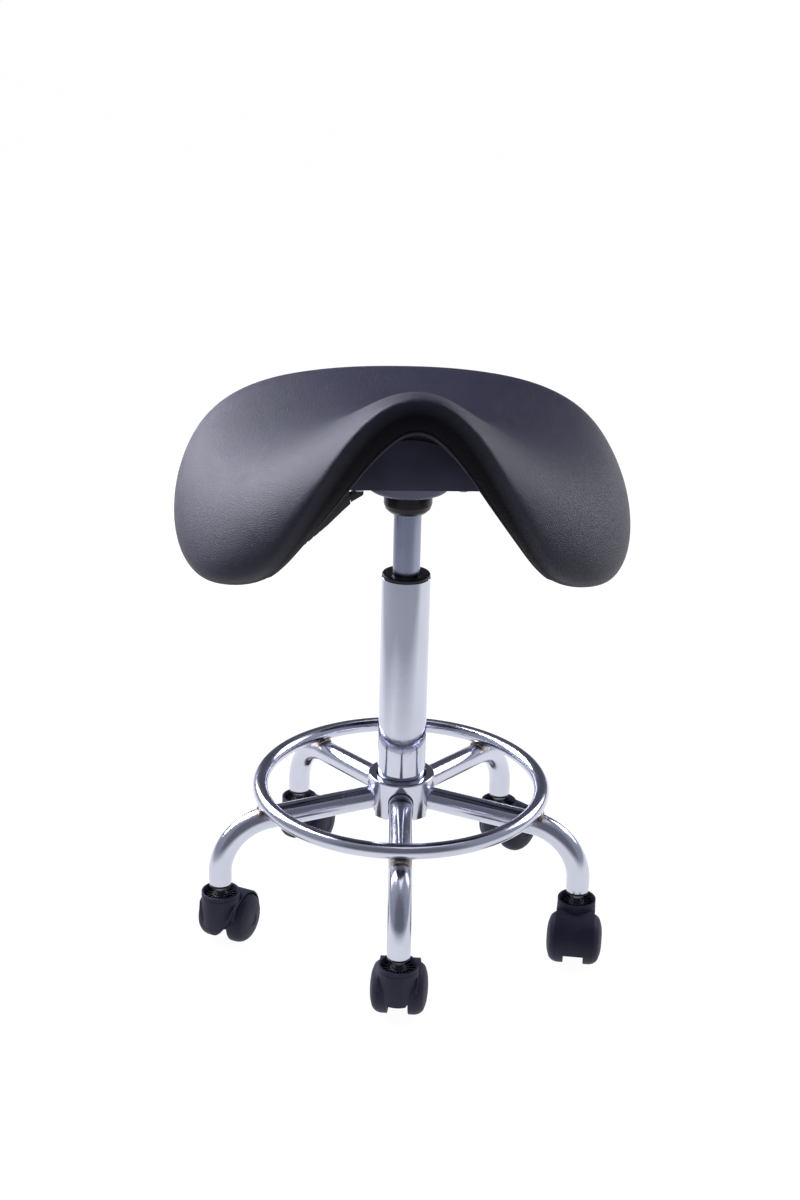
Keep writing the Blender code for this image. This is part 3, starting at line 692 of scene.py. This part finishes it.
GRIP_LINE = [(-0.0590, 0.4895), (-0.0640, 0.4862), (-0.0900, 0.4620), (-0.1080, 0.4440), (-0.1225, 0.4320), (-0.1265, 0.4262), (-0.1250, 0.4205),
             (-0.1195, 0.4190), (-0.1020, 0.4320), (-0.0806, 0.4515), (-0.0704, 0.4620), (-0.0640, 0.4686), (-0.0575, 0.4748)]
grip = prism("lever_paddle", fillet(GRIP_LINE, [0.002, 0.004, 0.03, 0.03, 0.006, 0.003, 0.003, 0.004, 0.03, 0.03, 0.02, 0.006, 0.0004], 5), -0.0090, 0.0090)
boolean(grip, prism("cut", [(-0.0511, 0.4895), (-0.0899, 0.4563), (-0.0866, 0.4525), (-0.0478, 0.4857)], -0.0053, 0.0053))
for k in range(6):                          # finger grooves on the underside of the paddle
    t = k / 5
    c = Vector((-0.0815 - 0.030 * t, 0, 0.4494 - 0.0258 * t))
    boolean(grip, drum("groove", 0.0011, -0.02, 0.02, 16, Matrix.Translation(c) @ Matrix.Rotation(math.pi / 2, 4, "X")))
bevel(grip, 0.0016, 3, 50.0)
piece(grip, "lever", BLACK, "black_plastic", "lever_grip")

# ---------------------------------------------------------------- column, bush and hub
piece(lathe("column_tube", fillet([(COLUMN_R, COLUMN_TOP), (COLUMN_R, 0.1400), (0.0240, COLUMN_LOW), (0.0085, COLUMN_LOW),
                                   (0.0085, COLUMN_LOW + 0.0030), (0.0220, COLUMN_LOW + 0.0030), (0.0230, 0.1380), (0.0230, COLUMN_TOP)],
                                  [0.0008, 0.003, 0.0015, 0.0004, 0, 0.001, 0.002, 0.0006], 5), 128),
      "base", CHROME, "chrome", "outer_column")
piece(lathe("column_bush", fillet([(0.0246, COLUMN_TOP + 0.0035), (0.0246, COLUMN_TOP + GAP), (0.0225, COLUMN_TOP + GAP), (0.0225, 0.3300),
                                   (0.01435, 0.3300), (0.01435, COLUMN_TOP + 0.0035)], [0.0018, 0.0003, 0, 0.0006, 0.0006, 0.0012], 5), 96),
      "base", BLACK, "black_plastic", "guide_bush")


def hub_mesh():
    ob = lathe("star_hub", fillet([(HUB_R, HUB_TOP), (HUB_R, HUB_LOW), (0.0256, HUB_LOW), (0.0256, HUB_TOP)],
                                  [0.0022, 0.0008, 0.0006, 0.0024], 6), 160)
    for a in LEG_DIRS:
        outline = [(-NOTCH_W, HUB_LOW - 0.01), (NOTCH_W, HUB_LOW - 0.01)] + arc(0.0, NOTCH_TOP - NOTCH_W, NOTCH_W, 0, 180, 28)
        tool = prism("notch", outline, -0.0050, 0.0050)
        tool.data.transform(Matrix.Rotation(a - math.pi / 2, 4, "Z") @ Matrix.Translation((0, HUB_CORE_R + 0.0050, 0)))
        boolean(ob, tool)
    return bevel(ob, 0.0005, 2, 50.0)


piece(hub_mesh(), "base", CHROME_HUB, "chrome", "base_hub")


def leg_line(steps=28):
    slope = math.atan(LEG_SLOPE)
    turn = slope + math.pi / 2
    corner = Vector((LEG_R, LEG_Z0 + LEG_SLOPE * LEG_R))
    d = Vector((math.cos(slope), math.sin(slope)))
    start = corner - d * LEG_BEND * math.tan(turn / 2)
    centre = start + Vector((math.sin(slope), -math.cos(slope))) * LEG_BEND
    pts = []
    first = Vector((LEG_START, LEG_Z0 + LEG_SLOPE * LEG_START))
    for i in range(8):
        pts.append(tuple(first.lerp(start, i / 8)))
    for i in range(steps + 1):
        phi = turn * (1 - i / steps)
        pts.append((centre.x + LEG_BEND * math.cos(phi), centre.y + LEG_BEND * math.sin(phi)))
    last = pts[-1][1]
    for z in (last - (last - LEG_END_Z) * 0.5, LEG_END_Z + 0.0050, LEG_END_Z + 0.0040, LEG_END_Z + 0.0012, LEG_END_Z + 0.0004, LEG_END_Z):
        pts.append((LEG_R, z))
    return pts


LINE = leg_line()
for k, a in enumerate(LEG_DIRS):
    c, s = math.cos(a), math.sin(a)
    n = len(LINE)
    radii = [LEG_TUBE] * (n - 5) + [LEG_TUBE, LEG_TUBE - 0.00022, LEG_TUBE - 0.00022, LEG_TUBE - 0.0004, LEG_TUBE - 0.0008]
    leg = tube("bent_leg_%d" % (k + 1), [(r * c, r * s, z) for r, z in LINE], radii, 48, hollow=LEG_WALL, ups=Vector((-s, c, 0)))
    piece(leg, "base", CHROME_LEG, "chrome", "leg_%d" % (k + 1))

ring = tube("round_ring", [(RING_R * math.cos(math.tau * i / 200), RING_R * math.sin(math.tau * i / 200), RING_Z) for i in range(200)],
            [RING_TUBE] * 200, 32, closed=True, ups=Vector((0, 0, 1)))
piece(ring, "base", CHROME_RING, "chrome", "foot_ring")

# weld beads: two under the ring at each leg, and one round each leg where it meets the hub's core
for k, a in enumerate(LEG_DIRS):
    c, s = math.cos(a), math.sin(a)
    rad, tan = Vector((c, s, 0)), Vector((-s, c, 0))
    for side, word in ((-1, "in"), (1, "out")):
        r0 = RING_R + side * 0.0052
        top = LEG_Z0 + LEG_SLOPE * r0 + LEG_TUBE
        if side > 0:
            top -= 0.0004
        pts, rr = [], []
        m = 22
        for i in range(m + 1):
            t = -1 + 2 * i / m
            off = t * 0.0078
            drop = LEG_TUBE - math.sqrt(LEG_TUBE ** 2 - off ** 2)
            p = rad * (r0 - side * 0.0002 * math.cos(t * 3)) + tan * off
            p.z = top + 0.0006 - drop * 0.95 + 0.0002 * math.sin(i * 1.9 + k)
            pts.append(p)
            rr.append(0.0022 * math.sqrt(max(0.02, 1 - t * t)) * (1 + 0.10 * math.sin(i * 2.1 + 3 * k)))
        w = tube("ring_weld_%d_%s" % (k + 1, word), pts, rr, 14)
        piece(w, "base", WELD, "chrome")
    pts, rr = [], []
    m = 48
    z0 = LEG_Z0 + LEG_SLOPE * (HUB_CORE_R + 0.0012)
    for i in range(m):
        t = math.tau * i / m
        p = rad * (HUB_CORE_R + 0.0014) + tan * (0.01225 * math.cos(t)) + Vector((0, 0, z0 + 0.01225 * math.sin(t)))
        pts.append(p)
        rr.append(0.0009 * (1 + 0.12 * math.sin(i * 2.3 + k)))
    w = tube("hub_weld_%d" % (k + 1), pts, rr, 10, closed=True)
    piece(w, "base", CHROME_HUB, "chrome")

# ---------------------------------------------------------------- castors
AXLE = Matrix.Translation((TRAIL, 0, WHEEL_R))


def castor_mesh():
    """Hood, web and open collar. The stem stands at the origin and the wheels trail to +X."""
    zc = WHEEL_R
    ob = prism("castor_shell", arc(TRAIL, zc, HOOD_R, -12, 112, 44) + [(-0.0060, 0.0530), (-0.0100, 0.0500), (-0.0150, 0.0400), (-0.0162, 0.0262),
               (-0.0137, 0.0250), (0.0040, HOOD_BOTTOM), (0.0400, HOOD_BOTTOM)], -HOOD_W, HOOD_W)
    boolean(ob, drum("collar", COLLAR_R, 0.0256, COLLAR_TOP, 96), "UNION")
    # the front panel narrows to the width between the wheels
    half = [(0.0240, 0.0150), (0.0088, 0.0150), (0.0090, 0.0252), (0.0098, 0.0268), (0.0116, 0.0290), (0.0140, 0.0322), (0.0163, 0.0366),
            (0.0183, 0.0430), (0.0197, 0.0500), (0.0240, 0.0520)]
    for side in (-1, 1):
        boolean(ob, prism("taper", [(side * y, z) for y, z in half], -0.0300, -0.0080, "X"))
    for side in (-1, 1):
        boolean(ob, drum("room", CLEAR_R, 0.0, 0.0300, 96, Matrix.Translation((TRAIL, side * (WEB_W + 0.015), zc))
                         @ Matrix.Rotation(math.pi / 2, 4, "X") @ Matrix.Translation((0, 0, -0.015))))
    boolean(ob, drum("cup", COLLAR_IR, COLLAR_FLOOR, COLLAR_TOP + 0.01, 96))
    boolean(ob, drum("stem_bore", STEM_R + 0.0003, STEM_LOW - 0.0006, COLLAR_TOP, 48))
    boolean(ob, drum("axle_bore", AXLE_R + 0.0002, -0.02, 0.02, 32, AXLE @ Matrix.Rotation(math.pi / 2, 4, "X")))
    # shallow groove round the collar
    groove = lathe("groove", [(0.0225, 0.0602), (0.0194, 0.0600), (0.0194, 0.0592), (0.0225, 0.0590)], 96)
    boolean(ob, groove)
    return bevel(ob, 0.0005, 2, 40.0)


def rib_mesh():
    """Ring and radial ribs on the floor of the collar."""
    z0, z1 = COLLAR_FLOOR + 0.00015, 0.0592
    ob = lathe("rib_ring", fillet([(0.0082, z1 + 0.0006), (0.0082, z0), (0.0058, z0), (0.0058, z1 + 0.0006)], [0.0004, 0, 0, 0.0004], 3), 64)
    for k in range(18):
        a = math.tau * (k + 0.5) / 18
        rib = prism("rib", [(0.0078, z0), (0.0174, z0), (0.0174, z1 - 0.0004), (0.0170, z1), (0.0078, z1)], -0.00045, 0.00045)
        rib.data.transform(Matrix.Rotation(a, 4, "Z"))
        boolean(ob, rib, "UNION")
    return smooth(ob, 30)


def wheel_mesh():
    """Domed twin-castor wheel about Z, inner face at z = 0."""
    w = WHEEL_OUT - WHEEL_IN
    r = WHEEL_R
    pts = fillet([(AXLE_R + 0.0002, 0.0), (0.0090, 0.0), (0.0090, 0.0016), (r - 0.0040, 0.0016), (r - 0.0040, 0.0), (r, 0.0), (r, w - 0.0115),
                  (r - 0.0012, w - 0.0075), (r - 0.0042, w - 0.0036), (0.0140, w - 0.0008), (0.0070, w - 0.0001), (0.0066, w - 0.0007), (0.0, w - 0.0007)],
                 [0, 0.0004, 0.0004, 0.0004, 0.0004, 0.0008, 0.010, 0.006, 0.010, 0.03, 0.0002, 0.0002, 0], 6, False)
    return lathe("castor_disc", pts + [(0.0, w - 0.0046), (AXLE_R + 0.0002, w - 0.0046)], 96, True)


shell = castor_mesh()
ribs = rib_mesh()
disc = wheel_mesh()
stem_profile = fillet([(0, 0.0860), (STEM_R, 0.0860), (STEM_R, 0.0707), (0.0072, 0.0707), (0.0072, 0.0662), (0.0064, 0.0650), (STEM_R, 0.0640),
                       (STEM_R, STEM_LOW), (0, STEM_LOW)], [0, 0.0008, 0, 0.0004, 0.0006, 0, 0, 0.0010, 0], 4, False)
insert_profile = fillet([(0.0096, 0.0860), (0.0096, LEG_END_Z - GAP), (0.0117, LEG_END_Z - GAP), (0.0117, 0.0711), (0.0056, 0.0711), (0.0056, 0.0860)],
                        [0.0005, 0, 0.0004, 0.0008, 0.0004, 0.0005], 3)
stem = lathe("grip_stem", stem_profile, 48, False)
insert = lathe("leg_plug", insert_profile, 64)
axle = lathe("axle_rod", fillet([(0, 0.0240), (AXLE_R, 0.0240), (AXLE_R, -0.0240), (0, -0.0240)], [0, 0.0006, 0.0006, 0], 3, False), 32, False)


def copy_of(ob, name, matrix):
    new = link(name, ob.data)
    new.matrix_world = matrix
    return new


for k, a in enumerate(LEG_DIRS):
    n = k + 1
    foot = Matrix.Translation((LEG_R * math.cos(a), LEG_R * math.sin(a), 0))
    turn = foot @ Matrix.Rotation(math.radians(TRAIL_DIR[k]), 4, "Z")
    piece(copy_of(stem, "grip_stem_%d" % n, foot), "base", ZINC, "steel", "castor_stem_%d" % n)
    piece(copy_of(insert, "leg_plug_%d" % n, foot), "base", BLACK, "black_plastic", "leg_insert_%d" % n)
    body = "castor_%d" % n
    piece(copy_of(shell, "castor_shell_%d" % n, turn), body, CASTOR, "castor_nylon", "castor_%d_housing" % n)
    # the ribs take the darker nylon, painted shade in the cup
    piece(copy_of(ribs, "castor_ribs_%d" % n, turn), body, CASTOR_SHADED_IN, "castor_nylon")
    piece(copy_of(axle, "axle_rod_%d" % n, turn @ AXLE @ Matrix.Rotation(math.pi / 2, 4, "X")), body, ZINC, "steel", "castor_%d_axle" % n)
    for side, word in ((1, "left"), (-1, "right")):
        m = turn @ AXLE @ Matrix.Rotation(-side * math.pi / 2, 4, "X") @ Matrix.Translation((0, 0, WHEEL_IN))
        piece(copy_of(disc, "castor_disc_%d_%s" % (n, word), m), "castor_%d_wheel_%s" % (n, word), CASTOR, "castor_nylon",
              "castor_%d_wheel_%s" % (n, word))
for ob in (shell, ribs, disc, stem, insert, axle):
    bpy.data.objects.remove(ob)

# ---------------------------------------------------------------- hidden CAD pieces that stay
INNER = {"piston_rod": STEEL, "piston": BLACK, "thrust_bearing": ZINC, "bump_stop": BLACK, "rod_clip": ZINC, "tube_gland": BLACK,
         "release_pin": STEEL}
for name, mat in INNER.items():
    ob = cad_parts[name]
    ob.data.materials.clear()
    ob.data.materials.append(mat)

# ---------------------------------------------------------------- studio
TURN = math.radians(3.0)
D, HC, PITCH, YAW, ROLL, FOCAL = 1.7769155, 1.0461328 + 0.0108, 0.3691, -0.0032, 0.0243, 1874.1032
TO_FRAME = Matrix(((math.cos(TURN), math.sin(TURN), 0), (-math.sin(TURN), math.cos(TURN), 0), (0, 0, 1)))

floor = prism("studio_floor", [(-40, -40), (40, -40), (40, 40), (-40, 40)], -0.02, -0.0002, "Z")
fm = Nodes("studio_floor")
sep = fm.new("ShaderNodeSeparateXYZ")
fm.link(fm.co, sep.inputs[0])
fx, fy, _ = sep.outputs
# The floor glows as painted light: bright in the back and to the right, dimmed in front and to the left so the chrome
# reflects a darker floor there.
front = fm.span(fy, -1.05, -0.42)
left = fm.span(fm.math("ADD", fx, fm.math("MULTIPLY", fm.math("MAXIMUM", fy, 0.0), 0.26)), -0.95, -0.50)
pool = fm.math("MULTIPLY", front, left)
fm.link(fm.mix(pool, (0.42, 0.43, 0.47), (0.97, 0.97, 0.975)), fm.b.inputs["Emission Color"])
fm.b.inputs["Emission Strength"].default_value = 1.0
floor.data.materials.append(fm.out(fm.mix(fm.noise(0.8, 2.0), (0.08, 0.08, 0.08), (0.09, 0.09, 0.09)), 0.95, 0.0, Specular_IOR_Level=0.1))

world = bpy.data.worlds.new("studio")
scene.world = world
world.use_nodes = True
wt = world.node_tree
bg = wt.nodes["Background"]
tc = wt.nodes.new("ShaderNodeTexCoord")
norm = wt.nodes.new("ShaderNodeVectorMath")
norm.operation = "NORMALIZE"
wt.links.new(tc.outputs["Generated"], norm.inputs[0])


def patch(azimuth, elevation, inner, outer):
    """1 within inner degrees of a direction (azimuth from the camera's right), 0 beyond outer."""
    a, e = math.radians(azimuth), math.radians(elevation)
    axis = TO_FRAME @ Vector((math.cos(a) * math.cos(e), math.sin(a) * math.cos(e), math.sin(e)))
    dot = wt.nodes.new("ShaderNodeVectorMath")
    dot.operation = "DOT_PRODUCT"
    wt.links.new(norm.outputs["Vector"], dot.inputs[0])
    dot.inputs[1].default_value = axis
    r = wt.nodes.new("ShaderNodeMapRange")
    r.interpolation_type = "SMOOTHSTEP"
    for key, v in (("From Min", math.cos(math.radians(outer))), ("From Max", math.cos(math.radians(inner))), ("To Min", 0.0), ("To Max", 1.0)):
        r.inputs[key].default_value = v
    wt.links.new(dot.outputs["Value"], r.inputs["Value"])
    return r.outputs["Result"]


sky = (0.36, 0.38, 0.44, 1.0)
for (az, el, r0, r1), colour in (((90, 25, 32, 62), (0.10, 0.103, 0.13, 1.0)), ((-90, 20, 30, 60), (0.18, 0.18, 0.22, 1.0))):
    m = wt.nodes.new("ShaderNodeMix")
    m.data_type = "RGBA"
    wt.links.new(patch(az, el, r0, r1), m.inputs[0])
    if isinstance(sky, tuple):
        m.inputs[6].default_value = sky
    else:
        wt.links.new(sky, m.inputs[6])
    m.inputs[7].default_value = colour
    sky = m.outputs[2]
wt.links.new(sky, bg.inputs["Color"])
bg.inputs["Strength"].default_value = 1.0


def area(name, place, target, size, power, colour=(0.97, 0.97, 1.10)):
    data = bpy.data.lights.new(name, "AREA")
    data.shape = "RECTANGLE"
    data.size, data.size_y = size
    data.energy = power
    data.color = colour
    ob = bpy.data.objects.new(name, data)
    scene.collection.objects.link(ob)
    ob.location = TO_FRAME @ Vector(place)
    ob.rotation_euler = (TO_FRAME @ Vector(target) - ob.location).to_track_quat("-Z", "Y").to_euler()
    ob.visible_camera = False
    return ob


area("key_left", (-1.5, 1.1, 1.25), (-0.1, 0, 0.52), (1.3, 1.1), 58)
area("high_left", (-1.1, 0.45, 1.95), (0, -0.1, 0.55), (0.7, 0.7), 26)
area("fill_right", (1.6, 1.0, 1.2), (0.1, 0, 0.5), (1.1, 1.0), 21)
area("overhead", (0.1, 0.1, 2.3), (0, 0, 0.3), (1.5, 1.3), 8)

cp, sp = math.cos(PITCH), math.sin(PITCH)
cy, sy = math.cos(YAW), math.sin(YAW)
fwd = Vector((sy * cp, cy * cp, -sp))
right = Vector((cy, -sy, 0))
up = right.cross(fwd)
r2 = TO_FRAME @ (right * math.cos(ROLL) + up * math.sin(ROLL))
u2 = TO_FRAME @ (up * math.cos(ROLL) - right * math.sin(ROLL))
f2 = TO_FRAME @ fwd
where = TO_FRAME @ Vector((0, -D, HC))
cam_data = bpy.data.cameras.new("camera")
cam = bpy.data.objects.new("camera", cam_data)
scene.collection.objects.link(cam)
cam_data.sensor_fit = "VERTICAL"
cam_data.sensor_height = 36.0
cam_data.lens = FOCAL * 36.0 / 1200.0
cam_data.clip_end = 200.0
cam.matrix_world = Matrix(((r2.x, u2.x, -f2.x, where.x), (r2.y, u2.y, -f2.y, where.y), (r2.z, u2.z, -f2.z, where.z), (0, 0, 0, 1)))
scene.camera = cam
